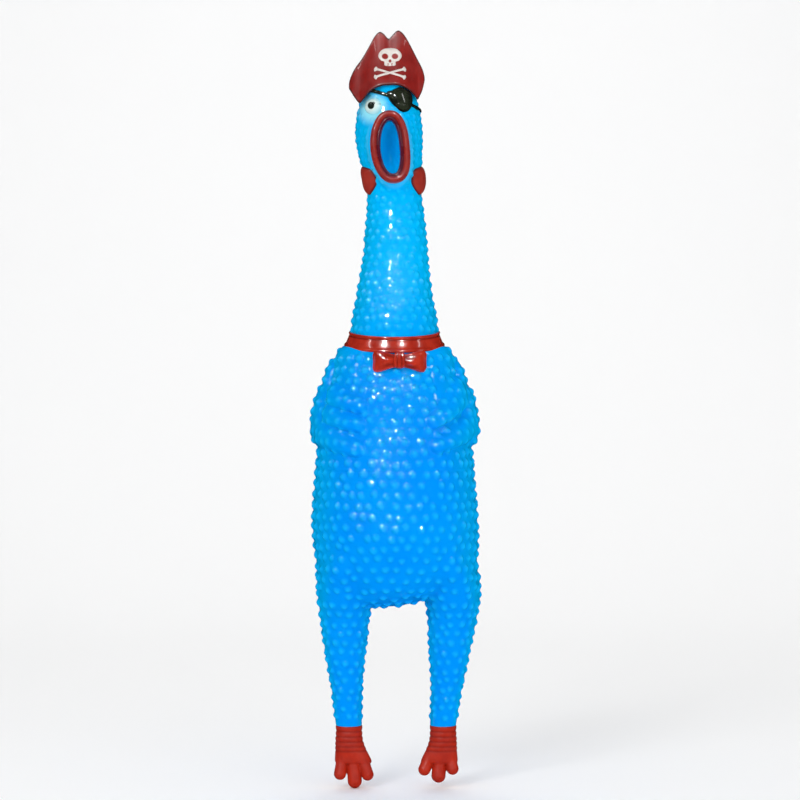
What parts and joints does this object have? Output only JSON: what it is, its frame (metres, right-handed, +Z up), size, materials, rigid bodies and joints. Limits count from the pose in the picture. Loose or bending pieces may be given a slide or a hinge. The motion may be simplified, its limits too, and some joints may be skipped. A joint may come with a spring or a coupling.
{
  "type": "squeaking rubber chicken toy",
  "caption": "Long-necked squeaky rubber chicken with a nubbed skin, open screaming mouth, pirate hat, eye patch, collar and bow tie; neck, legs and belly flex.",
  "frame": {"origin": "middle of the belly, where a hand closes round it to squeeze", "axes": "+Z up along the body to the hat, -Y out of the chicken's front, +X to the chicken's left"},
  "size_m": [0.0656, 0.0588, 0.3],
  "materials": {
    "blue_vinyl": "glossy translucent soft vinyl",
    "gloss_red": "thick glossy paint",
    "lip_red": "satin paint",
    "hat_red": "satin paint",
    "emblem_white": "flat printed paint",
    "eye_white": "gloss paint",
    "pupil_black": "gloss paint",
    "patch_black": "gloss paint",
    "foot_red": "matt paint",
    "squeaker_plastic": "moulded plastic",
    "reed_plastic": "moulded plastic",
    "reed_film": "thin film"
  },
  "bodies": {
    "torso": {"torso_skin": "blue_vinyl", "left_wing": "blue_vinyl", "right_wing": "blue_vinyl", "neck_collar": "gloss_red", "bow_tie": "gloss_red", "bow_knot": "gloss_red"},
    "belly": {"belly_skin": "blue_vinyl"},
    "lower_neck": {"neck_lower_skin": "blue_vinyl", "squeaker_housing": "squeaker_plastic", "squeaker_cap": "squeaker_plastic", "reed_shallot": "reed_plastic", "reed_clamp": "reed_plastic"},
    "reed": {"reed_tongue": "reed_film"},
    "upper_neck": {"neck_upper_skin": "blue_vinyl"},
    "head": {"head_skin": "blue_vinyl", "beak_lips": "lip_red", "right_eye": "eye_white", "right_pupil": "pupil_black", "eye_patch": "patch_black", "eye_patch_strap": "patch_black", "left_wattle": "lip_red", "right_wattle": "lip_red", "hat": "hat_red", "hat_skull": "emblem_white", "hat_crossbones": "emblem_white"},
    "left_thigh": {"left_thigh_skin": "blue_vinyl"},
    "right_thigh": {"right_thigh_skin": "blue_vinyl"},
    "left_shank": {"left_shank_skin": "blue_vinyl"},
    "right_shank": {"right_shank_skin": "blue_vinyl"},
    "left_foot": {"left_foot": "foot_red"},
    "right_foot": {"right_foot": "foot_red"}
  },
  "joints": [
    {"name": "belly_squeeze", "type": "slide", "parent": "torso", "child": "belly", "axis": [0, 1, 0], "range_m": [0, 0.007], "stiffness_N_per_m": 600},
    {"name": "neck_base_bend", "type": "hinge", "parent": "torso", "child": "lower_neck", "pos_m": [0, 0, 0.07003], "axis": [1, 0, 0], "range_deg": [-25, 25], "stiffness_Nm_per_rad": 0.3},
    {"name": "neck_middle_bend", "type": "hinge", "parent": "lower_neck", "child": "upper_neck", "pos_m": [0, 0, 0.09556], "axis": [0, 1, 0], "range_deg": [-25, 25], "stiffness_Nm_per_rad": 0.2},
    {"name": "head_nod", "type": "hinge", "parent": "upper_neck", "child": "head", "pos_m": [0, 0, 0.11646], "axis": [1, 0, 0], "range_deg": [-30, 30], "stiffness_Nm_per_rad": 0.15},
    {"name": "reed_beat", "type": "hinge", "parent": "lower_neck", "child": "reed", "pos_m": [0, -0.0004, 0.08009], "axis": [1, 0, 0], "range_deg": [-6, 3.5], "stiffness_Nm_per_rad": 0.0001},
    {"name": "left_hip_bend", "type": "hinge", "parent": "torso", "child": "left_thigh", "pos_m": [0.0212, 0, -0.04414], "axis": [1, 0, 0], "range_deg": [-40, 40], "stiffness_Nm_per_rad": 0.1},
    {"name": "left_leg_bend", "type": "hinge", "parent": "left_thigh", "child": "left_shank", "pos_m": [0.0198, 0, -0.06583], "axis": [0, 1, 0], "range_deg": [-25, 10], "stiffness_Nm_per_rad": 0.05},
    {"name": "left_ankle_bend", "type": "hinge", "parent": "left_shank", "child": "left_foot", "pos_m": [0.01855, 0, -0.08506], "axis": [1, 0, 0], "range_deg": [-35, 35], "stiffness_Nm_per_rad": 0.02},
    {"name": "right_hip_bend", "type": "hinge", "parent": "torso", "child": "right_thigh", "pos_m": [-0.0212, 0, -0.04414], "axis": [1, 0, 0], "range_deg": [-40, 40], "stiffness_Nm_per_rad": 0.1},
    {"name": "right_leg_bend", "type": "hinge", "parent": "right_thigh", "child": "right_shank", "pos_m": [-0.0198, 0, -0.06583], "axis": [0, -1, 0], "range_deg": [-25, 10], "stiffness_Nm_per_rad": 0.05},
    {"name": "right_ankle_bend", "type": "hinge", "parent": "right_shank", "child": "right_foot", "pos_m": [-0.01855, 0, -0.08506], "axis": [1, 0, 0], "range_deg": [-35, 35], "stiffness_Nm_per_rad": 0.02}
  ]
}
